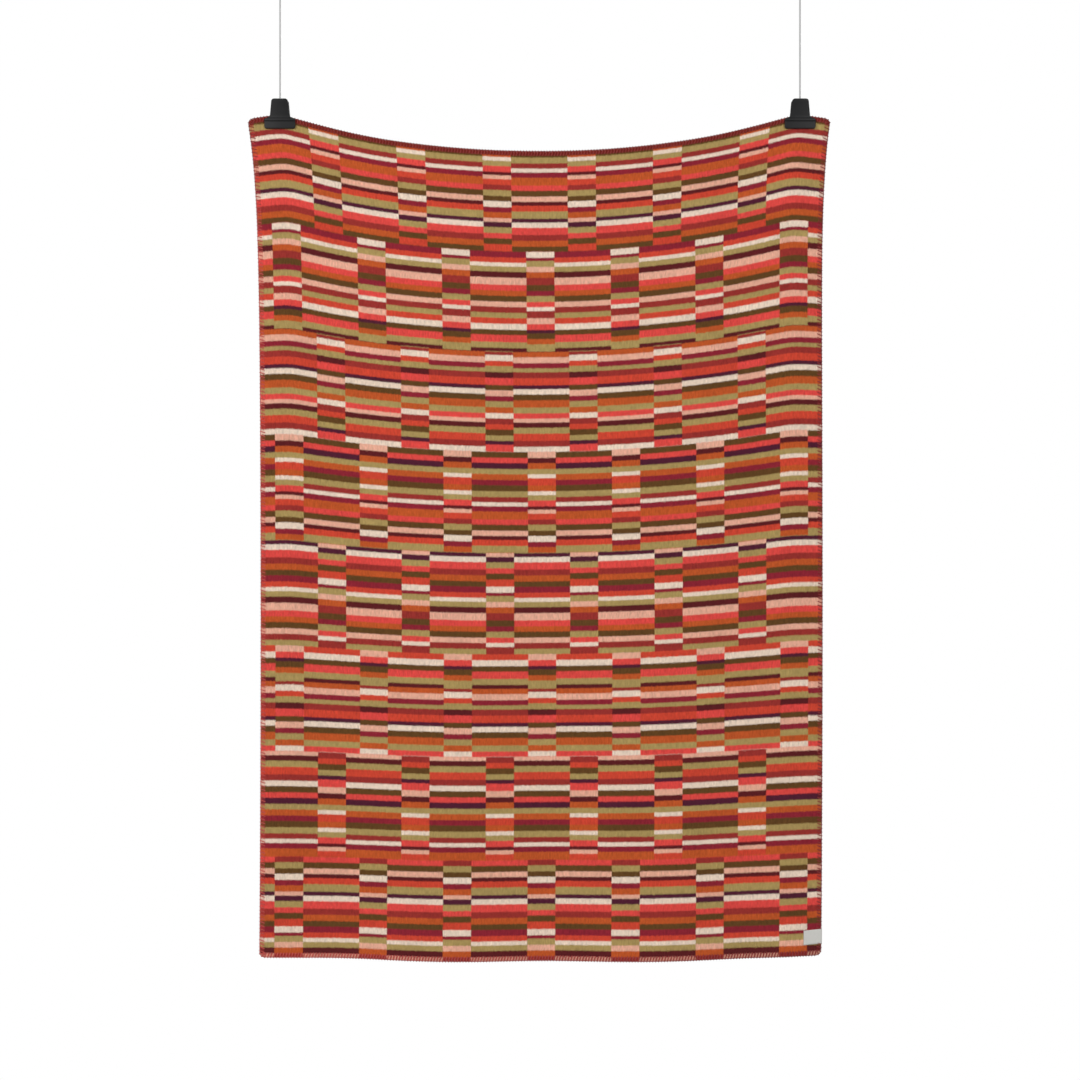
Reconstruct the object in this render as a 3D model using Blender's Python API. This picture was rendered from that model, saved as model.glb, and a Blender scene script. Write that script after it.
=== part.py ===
"""Lambswool blanket hung by its top edge from two spring clips on taut lines.

Metres, +Z up. x = 0 is halfway between the two lines, y = 0 is the plane that they hang in, with
the front of the blanket towards -Y, and z = 0 is the ceiling that the lines are fixed to.
"""
import math
from collections import namedtuple

import bmesh
import bpy
from mathutils import Vector

MM = 0.001
GAP = 0.3 * MM                      # between neighbouring pieces

# Blanket: 135 x 200 cm, hanging with a slack top edge
HALF_WIDTH = 0.670                  # from the middle to either side, over most of the drop
TOP_FLARE = 0.025                   # more half width at the very top
FLARE_FADE = 0.075                  # share of the drop in which the flare fades
DROP = 2.011                        # from the top edge's crest to the side end of the hem
CREST_Z = -0.3058                   # where the top edge would peak under a clip, were it not rounded
CREST_SOFT = 20 * MM                # rounds the peak of the top edge under a clip
SAG = 0.0930                        # the top edge's middle below its crests
SAG_POWER = 2.2                     # how steeply the edge leaves a clip
SAG_FADE = 1.4                      # the rows of the weave straighten towards the hem
CORNER_DROP = 13 * MM               # the top corners below the crests
CORNER_FADE = 3.0
CLIMB = 6 * MM                      # the weave climbs to the right of its middle, but not at its ends
CLIMB_POWER = 0.6
HEM_DIP = 12 * MM                   # the hem's middle below its ends
LEAN_TOP = -2.4 * MM                # how far the blanket's middle stands off x = 0
LEAN_MIDDLE = 5.0 * MM
LEAN_HEM = 2.4 * MM
THICKNESS = 3 * MM                  # milled and raised wool

# Soft vertical folds. across runs from -1 at the left edge to 1 at the right one, and the other
# three columns are how far the cloth stands towards the front at the top, the middle and the hem.
Fold = namedtuple("Fold", "across spread top middle hem")
FOLDS = (
    Fold(-1.00, 0.13, 0.004, 0.009, 0.013),
    Fold(-0.70, 0.17, -0.007, -0.010, -0.015),
    Fold(-0.34, 0.20, 0.006, 0.009, 0.014),
    Fold(0.02, 0.18, -0.003, -0.007, -0.012),
    Fold(0.40, 0.22, 0.006, 0.011, 0.016),
    Fold(0.73, 0.13, -0.004, -0.006, -0.010),
    Fold(1.02, 0.15, -0.006, -0.014, -0.018),
)
SWAG = 0.020                        # the slack top edge tips this far forward in its middle
SWAG_SPREAD = 0.42                  # share of the half width
SWAG_FADE = 0.16                    # share of the drop
HELD_FLAT = 0.090                   # the cloth is flat this near to a clip's middle
HELD_FADE = 0.330                   # and takes up its full folds at this distance

COLUMNS = 38
ROWS = 44
NEAR = 0.002                        # share of the cloth over which its directions are taken

# Spring clips: 70.5 mm tall, 74 mm across the jaw
CLIP_REACH = 0.621                  # a clip's middle from x = 0
CLIP_FOOT_Z = -0.3416               # the jaw's lower edge
CLIP_HEIGHT = 70.5 * MM
JAW_HEIGHT = 25 * MM
JAW_HALF_WIDTH = 37 * MM
JAW_CORNER = 5 * MM
JAW_SHOULDER_TURN = math.radians(70)   # how far the jaw's upper corner turns before the flare
NECK_HEIGHT = 31 * MM               # where the flare above the jaw has run into the grip
NECK_HALF_WIDTH = 23.2 * MM
NECK_FLARE = ((-3 * MM, 3 * MM), (0.0, 0.8 * MM))   # added to the neck's height and half width
WAIST_NARROWING = 1 * MM            # off the neck's half width, at the spring's height
GRIP_HALF_WIDTH = 20 * MM           # at the top, below the rounded shoulders
GRIP_CORNER = 7 * MM
LIP_HEIGHT = 12 * MM                # the part of the jaw that presses on the cloth
LIP_DEPTH = THICKNESS / 2 + GAP     # its face from the middle plane
RELIEF_HEIGHT = 20 * MM
RELIEF_DEPTH = 4.4 * MM             # clear of the edge stitching above the lip
JAW_FACE_DEPTH = 7.6 * MM           # the jaw's flat outer face from the middle plane
GRIP_DEPTH = 12.5 * MM              # the inner face at the top, where fingers squeeze
GRIP_SPREAD = 1.3                   # power by which the grips part above the relief
CLIP_WALL = 3.2 * MM
CORNER_STEPS = 5
SPRING_HEIGHT = 43 * MM             # the spring's axis above the jaw's lower edge
SPRING_RADIUS = 5 * MM
SPRING_LENGTH = 26 * MM
SPRING_SIDES = 20

# Taut lines and their ceiling fittings
LINE_RADIUS = 2 * MM
LINE_POINTS = 24
FITTING_RADIUS = 13 * MM
FITTING_PLATE = 4 * MM              # the flat plate against the ceiling
FITTING_HEIGHT = 18 * MM
FITTING_BOSS_RADIUS = 6 * MM
FITTING_SLOPE = 2 * MM              # from the plate's rim down to the boss
FITTING_NOSE_RADIUS = 3 * MM
FITTING_SIDES = 28

# Woven label, folded round the right edge near the hem
LABEL_WIDTH = 42 * MM
LABEL_HEIGHT = 35 * MM
LABEL_MIDDLE_DOWN = 0.9785          # share of the drop
LABEL_TILT = math.radians(3)
LABEL_THICKNESS = 0.6 * MM
LABEL_CLEARANCE = 0.7 * MM          # from the cloth to the label's nearer face
LABEL_LENGTH_STEPS = 6
LABEL_HEIGHT_STEPS = 4
LABEL_BEND_STEPS = 6


def smooth_step(value, low, high):
    share = min(max((value - low) / (high - low), 0.0), 1.0)
    return share * share * (3.0 - 2.0 * share)


def through_three(share, top, middle, hem):
    """The smooth curve with these values at 0, a half and 1."""
    return (top * (1 - share) * (1 - 2 * share) + 4 * middle * share * (1 - share)
            + hem * share * (2 * share - 1))


def soft_positive(value, soft):
    """The value where it is positive and nothing where it isn't, with the corner rounded."""
    return (value + math.hypot(value, soft)) / 2


def cloth_x(across, down):
    flare = TOP_FLARE * math.exp(-down / FLARE_FADE) * abs(across)
    return through_three(down, LEAN_TOP, LEAN_MIDDLE, LEAN_HEM) + across * (HALF_WIDTH + flare)


def cloth_z(across, down):
    past_clip = abs(across) * (HALF_WIDTH + TOP_FLARE) - CLIP_REACH
    inward = min(soft_positive(-past_clip, CREST_SOFT) / CLIP_REACH, 1.0)
    outward = soft_positive(past_clip, CREST_SOFT) / (HALF_WIDTH + TOP_FLARE - CLIP_REACH)
    sag = SAG * (1 - (1 - inward) ** SAG_POWER) * (1 - down) ** SAG_FADE
    corner = CORNER_DROP * outward * (1 - down) ** CORNER_FADE
    climb = across * CLIMB * max(math.sin(math.pi * down), 0.0) ** CLIMB_POWER
    dip = HEM_DIP * (1 - across ** 2) * down ** 2
    return CREST_Z - DROP * down - sag - corner + climb - dip


def cloth_forward(across, down, x, z):
    """How far the cloth stands in front of the plane y = 0."""
    folds = 0.0
    for fold in FOLDS:
        reach = (across - fold.across) / fold.spread
        folds += through_three(down, fold.top, fold.middle, fold.hem) * math.exp(-reach ** 2)
    swag = SWAG * math.exp(-(across / SWAG_SPREAD) ** 2) * math.exp(-down / SWAG_FADE)
    from_clip = math.hypot(abs(x) - CLIP_REACH, z - CREST_Z)
    return (folds + swag) * smooth_step(from_clip, HELD_FLAT, HELD_FADE)


def cloth_point(across, down):
    """The middle of the cloth's thickness, at a place told in shares of its width and length."""
    x = cloth_x(across, down)
    z = cloth_z(across, down)
    return Vector((x, -cloth_forward(across, down, x, z), z))


def cloth_frame(across, down):
    """Unit vectors along the cloth to the right, down it, and out of its front."""
    right = cloth_point(across + NEAR, down) - cloth_point(across - NEAR, down)
    below = cloth_point(across, down + NEAR) - cloth_point(across, down - NEAR)
    front = below.cross(right)
    return right.normalized(), below.normalized(), front.normalized()


def material(name, colour, roughness, metallic=0.0):
    new = bpy.data.materials.new(name)
    new.use_nodes = True
    shader = new.node_tree.nodes["Principled BSDF"]
    shader.inputs["Base Color"].default_value = (*colour, 1.0)
    shader.inputs["Roughness"].default_value = roughness
    shader.inputs["Metallic"].default_value = metallic
    return new


def add_object(name, data, finish, parent):
    piece = bpy.data.objects.new(name, data)
    bpy.context.collection.objects.link(piece)
    piece.data.materials.append(finish)
    piece.parent = parent
    return piece


def mesh_from(work, name, sharp_angle=math.radians(35)):
    """Turn a bmesh into a smooth-shaded mesh with its normals pointing out."""
    bmesh.ops.recalc_face_normals(work, faces=work.faces)
    mesh = bpy.data.meshes.new(name)
    work.to_mesh(mesh)
    work.free()
    mesh.shade_smooth()
    mesh.set_sharp_from_angle(angle=sharp_angle)
    return mesh


def make_blanket(finish, parent):
    work = bmesh.new()
    grid = []
    for row in range(ROWS + 1):
        line = [work.verts.new(cloth_point(2 * column / COLUMNS - 1, row / ROWS))
                for column in range(COLUMNS + 1)]
        grid.append(line)
    for upper, lower in zip(grid, grid[1:]):
        for column in range(COLUMNS):
            work.faces.new((upper[column], lower[column], lower[column + 1], upper[column + 1]))
    blanket = add_object("blanket", mesh_from(work, "blanket"), finish, parent)
    thicken = blanket.modifiers.new("thickness", "SOLIDIFY")
    thicken.thickness = THICKNESS
    thicken.offset = 0.0


def label_profile():
    """The label's section: places across the edge, each with its height over the cloth's middle."""
    level = THICKNESS / 2 + LABEL_CLEARANCE + LABEL_THICKNESS / 2
    flap = [LABEL_WIDTH * (1 - step / LABEL_LENGTH_STEPS) for step in range(LABEL_LENGTH_STEPS + 1)]
    front = [(-inset, level) for inset in flap]
    back = [(-inset, -level) for inset in reversed(flap)]
    turns = [math.pi / 2 - math.pi * step / LABEL_BEND_STEPS for step in range(1, LABEL_BEND_STEPS)]
    bend = [(level * math.cos(turn), level * math.sin(turn)) for turn in turns]
    return front + bend + back


def make_label(finish, parent):
    edge = cloth_point(1.0, LABEL_MIDDLE_DOWN)
    right, below, front = cloth_frame(1.0, LABEL_MIDDLE_DOWN)
    along = (right * math.cos(LABEL_TILT) - below * math.sin(LABEL_TILT)).normalized()
    work = bmesh.new()
    grid = []
    for row in range(LABEL_HEIGHT_STEPS + 1):
        down = LABEL_HEIGHT * (row / LABEL_HEIGHT_STEPS - 0.5)
        line = []
        for outward, level in label_profile():
            flat = edge + along * min(outward, 0.0) + below * down
            across = 1.0 + min(outward, 0.0) / HALF_WIDTH
            lift = cloth_point(across, LABEL_MIDDLE_DOWN + down / DROP).y - flat.y
            over = flat + Vector((0.0, lift, 0.0))
            line.append(work.verts.new(over + right * max(outward, 0.0) + front * level))
        grid.append(line)
    for upper, lower in zip(grid, grid[1:]):
        for left in range(len(upper) - 1):
            work.faces.new((upper[left], lower[left], lower[left + 1], upper[left + 1]))
    label = add_object("label", mesh_from(work, "label"), finish, parent)
    thicken = label.modifiers.new("thickness", "SOLIDIFY")
    thicken.thickness = LABEL_THICKNESS
    thicken.offset = 0.0


def corner_rows(centre_height, centre_half_width, radius, start, end):
    """Rows round an outside corner, as heights with half widths, from one angle to the other."""
    rows = []
    for step in range(CORNER_STEPS + 1):
        angle = start + (end - start) * step / CORNER_STEPS
        rows.append((centre_height + radius * math.sin(angle),
                     centre_half_width + radius * math.cos(angle)))
    return rows


def clip_outline():
    """The clip seen from the front: half widths at rising heights above the jaw's lower edge."""
    foot = corner_rows(JAW_CORNER, JAW_HALF_WIDTH - JAW_CORNER, JAW_CORNER, -math.pi / 2, 0.0)
    lip = [(LIP_HEIGHT, JAW_HALF_WIDTH)]
    shoulder = corner_rows(JAW_HEIGHT - JAW_CORNER, JAW_HALF_WIDTH - JAW_CORNER, JAW_CORNER,
                           0.0, JAW_SHOULDER_TURN)
    neck = [(NECK_HEIGHT + higher, NECK_HALF_WIDTH + wider) for higher, wider in NECK_FLARE]
    waist = [(SPRING_HEIGHT, NECK_HALF_WIDTH - WAIST_NARROWING)]
    top = corner_rows(CLIP_HEIGHT - GRIP_CORNER, GRIP_HALF_WIDTH - GRIP_CORNER, GRIP_CORNER,
                      0.0, math.pi / 2)
    return foot + lip + shoulder + neck + waist + top


def clip_inner_depth(height):
    """The inner face's distance from the middle plane."""
    relief = (RELIEF_DEPTH - LIP_DEPTH) * smooth_step(height, LIP_HEIGHT, RELIEF_HEIGHT)
    above = max(height - RELIEF_HEIGHT, 0.0) / (CLIP_HEIGHT - RELIEF_HEIGHT)
    return LIP_DEPTH + relief + (GRIP_DEPTH - RELIEF_DEPTH) * above ** GRIP_SPREAD


def clip_outer_depth(height):
    """The outer face's distance: flat over the jaw, then one wall outside the inner face."""
    return max(JAW_FACE_DEPTH, clip_inner_depth(height) + CLIP_WALL)


def make_clip_half(name, middle_x, side, finish, parent):
    """One half of a clip, in front of the cloth for side = -1 and behind it for side = 1."""
    work = bmesh.new()
    rings = []
    for height, half_width in clip_outline():
        inner, outer = clip_inner_depth(height), clip_outer_depth(height)
        ring = [work.verts.new((across, side * depth, height))
                for across, depth in ((-half_width, inner), (half_width, inner),
                                      (half_width, outer), (-half_width, outer))]
        rings.append(ring)
    for lower, upper in zip(rings, rings[1:]):
        for corner in range(4):
            following = (corner + 1) % 4
            work.faces.new((lower[corner], lower[following], upper[following], upper[corner]))
    work.faces.new(rings[0])
    work.faces.new(rings[-1])
    half = add_object(name, mesh_from(work, name), finish, parent)
    half.location = (middle_x, 0.0, CLIP_FOOT_Z)


def make_spring(name, middle_x, finish, parent):
    """The clip's coil spring on its pin, as the solid that holds them both."""
    work = bmesh.new()
    bmesh.ops.create_cone(work, cap_ends=True, segments=SPRING_SIDES, radius1=SPRING_RADIUS,
                          radius2=SPRING_RADIUS, depth=SPRING_LENGTH)
    spring = add_object(name, mesh_from(work, name), finish, parent)
    spring.rotation_euler = (0.0, math.pi / 2, 0.0)
    spring.location = (middle_x, 0.0, CLIP_FOOT_Z + SPRING_HEIGHT)


def make_line(name, middle_x, finish, parent):
    """A taut line from the clip's spring up to its ceiling fitting."""
    low = CLIP_FOOT_Z + SPRING_HEIGHT + SPRING_RADIUS + GAP
    high = -FITTING_HEIGHT - GAP
    curve = bpy.data.curves.new(name, "CURVE")
    curve.dimensions = "3D"
    curve.bevel_depth = LINE_RADIUS
    curve.bevel_resolution = 2
    curve.use_fill_caps = True
    spline = curve.splines.new("POLY")
    spline.points.add(LINE_POINTS - 1)
    for number, point in enumerate(spline.points):
        height = low + (high - low) * number / (LINE_POINTS - 1)
        point.co = (middle_x, 0.0, height, 1.0)
    add_object(name, curve, finish, parent)


def make_fitting(name, middle_x, finish, parent):
    """A turned ceiling fitting: a flat plate with a boss that tapers down to the line."""
    profile = ((0.0, 0.0), (FITTING_RADIUS, 0.0), (FITTING_RADIUS, -FITTING_PLATE),
               (FITTING_BOSS_RADIUS, -FITTING_PLATE - FITTING_SLOPE), (FITTING_NOSE_RADIUS, -FITTING_HEIGHT),
               (0.0, -FITTING_HEIGHT))
    work = bmesh.new()
    points = [work.verts.new((radius, 0.0, height)) for radius, height in profile]
    edges = [work.edges.new(pair) for pair in zip(points, points[1:])]
    bmesh.ops.spin(work, geom=points + edges, cent=(0.0, 0.0, 0.0), axis=(0.0, 0.0, 1.0),
                   angle=2 * math.pi, steps=FITTING_SIDES, use_merge=True)
    bmesh.ops.remove_doubles(work, verts=work.verts, dist=0.01 * MM)
    fitting = add_object(name, mesh_from(work, name), finish, parent)
    fitting.location = (middle_x, 0.0, 0.0)


def clear_scene():
    for old in list(bpy.data.objects):
        bpy.data.objects.remove(old, do_unlink=True)


def main():
    clear_scene()
    wool = material("lambswool", (0.42, 0.10, 0.06), 0.95)
    tape = material("woven_label_tape", (0.62, 0.62, 0.60), 0.85)
    plastic = material("black_plastic", (0.022, 0.022, 0.024), 0.45)
    steel = material("spring_steel", (0.55, 0.55, 0.56), 0.30, metallic=1.0)
    cord = material("nylon_line", (0.50, 0.50, 0.50), 0.50)
    white = material("white_plastic", (0.75, 0.75, 0.74), 0.45)
    hanging = bpy.data.objects.new("hung_blanket", None)
    bpy.context.collection.objects.link(hanging)
    make_blanket(wool, hanging)
    make_label(tape, hanging)
    for name, middle_x in (("left", -CLIP_REACH), ("right", CLIP_REACH)):
        make_clip_half(name + "_clip_front", middle_x, -1, plastic, hanging)
        make_clip_half(name + "_clip_back", middle_x, 1, plastic, hanging)
        make_spring(name + "_clip_spring", middle_x, steel, hanging)
        make_line(name + "_line", middle_x, cord, hanging)
        make_fitting(name + "_ceiling_fitting", middle_x, white, hanging)


main()
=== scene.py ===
import math
from collections import namedtuple

import bmesh
import bpy
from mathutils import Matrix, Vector, noise


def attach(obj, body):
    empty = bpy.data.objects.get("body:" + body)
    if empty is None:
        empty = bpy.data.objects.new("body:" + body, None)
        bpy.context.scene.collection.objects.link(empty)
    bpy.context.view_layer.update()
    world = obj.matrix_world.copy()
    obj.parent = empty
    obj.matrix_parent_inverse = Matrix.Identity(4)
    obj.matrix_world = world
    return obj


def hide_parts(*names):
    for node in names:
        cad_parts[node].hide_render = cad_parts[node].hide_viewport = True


MM = 0.001
BODY = "root"

# The photo's view: 1080 pixels across 2.58 m at the blanket, seen square on from 6 m
PHOTO_PIXEL = 2.389 * MM
PHOTO_SIZE = 1080
CEILING_PIXEL = -14                 # the ceiling's row, counted down from the photo's top edge
CAMERA_DISTANCE = 6.0
SENSOR_WIDTH = 36.0                 # in millimetres, as Blender takes it

# The hang of the blanket, as the solids have it
FLAT_WIDTH = 1.35
FLAT_LENGTH = 2.00
HALF_WIDTH = 0.670
TOP_FLARE = 0.025
FLARE_FADE = 0.075
DROP = 2.011
CREST_Z = -0.3058                   # the low peaks in the top edge, under the clips
CREST_SOFT = 20 * MM
SAG = 0.0930
SAG_POWER = 2.2
SAG_FADE = 1.4
CORNER_DROP = 13 * MM
CORNER_FADE = 3.0
CLIMB = 6 * MM                      # the rows rise this far to the right, half way down
CLIMB_POWER = 0.6
HEM_DIP = 12 * MM
LEAN_TOP = -2.4 * MM
LEAN_MIDDLE = 5.0 * MM
LEAN_HEM = 2.4 * MM
THICKNESS = 3 * MM
CLIP_REACH = 0.621                  # from the middle out to each clip

# Soft vertical folds: places across from -1 to 1, and how far they stand to the front in metres
Fold = namedtuple("Fold", "across spread top middle hem")
FOLDS = (
    Fold(-1.00, 0.13, 0.004, 0.009, 0.013),
    Fold(-0.70, 0.17, -0.007, -0.010, -0.015),
    Fold(-0.34, 0.20, 0.006, 0.009, 0.014),
    Fold(0.02, 0.18, -0.003, -0.007, -0.012),
    Fold(0.40, 0.22, 0.006, 0.011, 0.016),
    Fold(0.73, 0.13, -0.004, -0.006, -0.010),
    Fold(1.02, 0.15, -0.006, -0.014, -0.018),
)
SWAG = 0.020                        # how far the slack top edge tips to the front
SWAG_SPREAD = 0.42
SWAG_FADE = 0.16
HELD_FLAT = 0.090                   # no folds nearer to a clip than this
HELD_FADE = 0.330                   # and full folds only beyond this

# Finer shape of the cloth, which the solids leave out
CELL = 8.5 * MM                     # side of a mesh square away from the edges
EDGE_LINES = (0.0, 0.5 * MM, 1.5 * MM, 3.5 * MM, 7.0 * MM, 12.0 * MM, 17.0 * MM)
EDGE_ROUNDING = EDGE_LINES[2]
RIM_SHARE = 0.25                    # of the thickness, left at the very edge
CORNER_RADIUS = 11 * MM
UNEVEN = 0.9 * MM                   # how far the milled cloth ripples out of its folds
UNEVEN_SPAN = 75 * MM               # from one ripple to the next
RIPPLE_START = 50 * MM              # from a clip to the first ripple
RIPPLE_FULL = 150 * MM

# Drag lines that fan out from each clip: angle from straight down, in degrees, length and height
Drag = namedtuple("Drag", "angle spread reach height")
DRAGS = (
    Drag(-38, 9, 0.26, 2.4 * MM),
    Drag(-12, 8, 0.30, -2.0 * MM),
    Drag(12, 8, 0.34, 2.2 * MM),
    Drag(36, 9, 0.38, -2.6 * MM),
    Drag(58, 8, 0.42, 2.4 * MM),
)
DRAG_START = 75 * MM
DRAG_FULL = 155 * MM

# Woven bars. Wide and narrow columns take their bars from charts of their own, each read down the
# cloth, and at every band the columns move half a step sideways. A bar ends at each 18th row, so
# that no band cuts one short.
ROW = 4.65 * MM
CHART_ROWS = 90
BAND_ROWS = 54
WIDE_COLUMN = 135 * MM
NARROW_COLUMN = 67.5 * MM
YARNS = {
    "c": "E8D2BE",                  # cream
    "b": "E4AA92",                  # blush
    "l": "DC4842",                  # coral
    "p": "CC4430",                  # poppy
    "k": "A89058",                  # khaki
    "r": "BC5426",                  # rust
    "i": "96302B",                  # brick
    "h": "8A2230",                  # cherry
    "m": "5A1B1E",                  # maroon
    "u": "4F1B2E",                  # plum
    "o": "5F401E",                  # olive
}
# Each entry is a yarn and the number of rows that it runs for
WIDE_CHARTS = (
    "o3 k3 i3 c2 h3 r4 l3 o3 b3 m2 p3 k4 u2 c3 l4 i3 r3 o3 h3 p3 c2 k3 m3 b4 l3 r3 o3 b3 i3 k3",
    "p3 c3 o3 l4 k3 m2 r3 b3 h3 k2 i3 p4 u2 c3 o3 r4 k3 l3 b2 m3 k3 p4 i3 c3 o3 l3 u3 k3 r3 h3",
)
NARROW_CHARTS = (
    "r3 c2 k3 l3 m2 b2 p3 i3 k3 o3 c3 h3 r3 b2 u3 k3 l3 o3 p4 c3 h2 k3 b3 r3 i4 o3 h3 k3 l3 c2 i4",
    "b3 l3 u2 o3 r3 k4 i2 c3 p3 k3 m3 l4 o3 b3 h3 k3 r3 c3 i3 p3 o3 k3 u2 l4 b3 m3 r3 k3 c2 p4",
)

# Nap of the milled cloth. Counts are for each metre across and down it.
FIBRES = (2500.0, 350.0, 1.0)       # fibres 0.4 mm wide and 3 mm long, which lie down the cloth
RIBS = (300.0, 65.0, 1.0)           # warp ribs 3.3 mm apart, broken every 15 mm
BLUR = (7 * MM, 13 * MM, 0.0)       # carries each colour about 1.5 mm past its bar
MARGIN_THICK = 0.93                 # share of felted sewing yarn along the top edge
MARGIN_THIN = 0.25                  # and along the other edges
MARGIN_FADE = (12 * MM, 20 * MM)    # down from the top edge, from the one to the other
MARGIN_RAGGED = 6 * MM

# Blanket stitch in thick yarn, round all four edges
END_PITCH = 7 * MM                  # along the top edge and the hem
SIDE_PITCH = 8.8 * MM
STITCH_DEPTH = 10.5 * MM
STITCH_UNEVEN = 0.10                # of the depth
STITCH_WANDER = 0.7                 # of a noise cell, from one stitch to the next
YARN_RADIUS = 1.5 * MM
SIDE_YARN_RADIUS = 1.0 * MM         # pulled tighter down the sides
PURL_RADIUS = 0.8 * MM
YARN_TOP_Z = -0.36                  # the top edge's dark yarn colour ends here
YARN_SIDE_Z = -0.60                 # and the sides' colour, with its painted light from the left, is full here
YARN_SIDE_X = 0.66

# Label, folded round the right edge
LABEL_WIDTH = 42 * MM
LABEL_HEIGHT = 35 * MM
LABEL_MIDDLE_DOWN = 0.9785
LABEL_TILT = math.radians(3)
LABEL_THICKNESS = 0.6 * MM
LABEL_CLEARANCE = 0.7 * MM
THREAD_INSET = 3 * MM
THREAD_MARGIN = 1 * MM
THREAD_STITCHES = 9
THREAD_LENGTH = 2.9 * MM
THREAD_RADIUS = 0.28 * MM
THREAD_PROUD = 0.8                  # of its radius, over the tape in the middle of a stitch
THREAD_DIVE = 2.2                   # of its radius, from there down to where its ends go in

# Spring clips: heights over the jaw's lower edge, and depths from the middle of the cloth
CLIP_FOOT_Z = -0.3416
CLIP_HEIGHT = 70.5 * MM
JAW_HEIGHT = 25 * MM
JAW_HALF_WIDTH = 37 * MM
JAW_CORNER = 5 * MM
SHOULDER_TURN = math.radians(74)
NECK_HEIGHT = 34 * MM
NECK_HALF_WIDTH = 23.2 * MM
NECK_CURVE = 3.2
GRIP_HALF_WIDTH = 20 * MM
GRIP_CORNER = 7 * MM
LIP_HEIGHT = 9 * MM
LIP_DEPTH = THICKNESS / 2 + 0.3 * MM
RELIEF_HEIGHT = 15 * MM
RELIEF_DEPTH = 4.4 * MM
JAW_FACE_DEPTH = 7.6 * MM
GRIP_DEPTH = 12.5 * MM
GRIP_SPREAD = 1.3
CLIP_WALL = 3.2 * MM
PLATE_CORNER = 1.3 * MM
PLATE_CORNER_SHARE = 0.45           # of the plate's thickness, at most
END_ROUNDING = 1.4 * MM
END_THINNING = 0.275                # of the wall, taken off each face at the very ends
GROOVE_HEIGHT = 18 * MM
GROOVE_DEPTH = 0.9 * MM
GROOVE_HALF = 0.5 * MM
GROOVE_LINES = (-0.9 * MM, -0.4 * MM, 0.4 * MM, 1.0 * MM)
BAND_RISE = 1.2 * MM                # the band above the groove stands this far proud
BAND_FULL = 1 * MM                  # above the groove's middle, where it is fully proud
BAND_FALL = 2 * MM                  # above the groove's middle, where it starts to fade
BAND_TOP = 29 * MM                  # where it has faded into the neck
FRONT_EAR = 15.5 * MM               # from the clip's middle
BACK_EAR = 12.8 * MM
EAR_THICKNESS = 2.2 * MM
EAR_RIM = 2.0 * MM                  # round the pin
EAR_FOOT = 1.5 * MM                 # wider at the plate, on each side
EAR_SUNK = 0.8 * MM                 # into the plate
SPRING_HEIGHT = 43 * MM
COIL_RADIUS = 3.6 * MM
COIL_TURNS = 4
COIL_START = 5.1 * MM               # from the clip's middle, past the line's loop
WIRE_RADIUS = 0.65 * MM
COIL_PITCH = 2.1 * WIRE_RADIUS
ARM_RISES = (17 * MM, 13 * MM, 9 * MM, 5 * MM)
PIN_RADIUS = 2.2 * MM
PIN_LENGTH = 33 * MM
TOUCH = 0.1 * MM                    # left between things that lie against each other

# Lines and ceiling fittings
LINE_RADIUS = 2 * MM
LINE_POINTS = 24
LINE_LOW = CLIP_FOOT_Z + SPRING_HEIGHT + 5.3 * MM
LINE_HIGH = -18.3 * MM
LOOP_PITCH = 1.1 * LINE_RADIUS
KNOT_PITCH = 2.0 * LINE_RADIUS
KNOT_THREAD = 0.95 * LINE_RADIUS    # the knot's turns are pulled thinner
KNOT_SLACK = 0.05 * MM
KNOT_LIFT = 0.6 * MM
FITTING_RADIUS = 13 * MM
FITTING_HEIGHT = 18 * MM
PLATE_HEIGHT = 4.4 * MM
PLATE_WIDEST = 2.5 * MM             # from the ceiling down to its widest
PLATE_LIP = 0.6 * MM
PLATE_ROUNDING = 1.5 * MM
SMALL_BREAK = 0.4 * MM
BOSS_RADIUS = 9 * MM
BOSS_END_RADIUS = 3 * MM
BOSS_CURVE = 2.2

# White studio
FLOOR_Z = -3.25
FLOOR_RADIUS = 2.7
FLOOR_THICKNESS = 20 * MM
SURROUND_LIGHT = 0.25               # what the white surroundings give beside the softboxes
AIM = (0.0, 0.0, -1.3)
Softbox = namedtuple("Softbox", "name place size power")
SOFTBOXES = (
    Softbox("key_softbox", (-3.4, -4.6, 0.9), 2.4, 198),
    Softbox("fill_softbox", (2.8, -5.0, 0.9), 2.4, 127),
    Softbox("back_softbox", (1.5, 4.6, -0.2), 2.6, 150),
)

# A Mix node's sockets for colours, and the length of one band of a Wave node of scale 1
SHARE, FIRST, SECOND = 0, 6, 7
WAVE_BAND = 0.2 * math.pi


def smooth_step(value, low, high):
    share = min(max((value - low) / (high - low), 0.0), 1.0)
    return share * share * (3.0 - 2.0 * share)


def through_three(share, top, middle, hem):
    """The smooth curve with these values at 0, a half and 1."""
    return (top * (1 - share) * (1 - 2 * share) + 4 * middle * share * (1 - share)
            + hem * share * (2 * share - 1))


def soft_positive(value, soft):
    """The value where it is well above 0, nothing where it is well below, and a soft turn between."""
    return (value + math.hypot(value, soft)) / 2


def cloth_x(across, down):
    flare = TOP_FLARE * math.exp(-down / FLARE_FADE) * abs(across)
    return through_three(down, LEAN_TOP, LEAN_MIDDLE, LEAN_HEM) + across * (HALF_WIDTH + flare)


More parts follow.
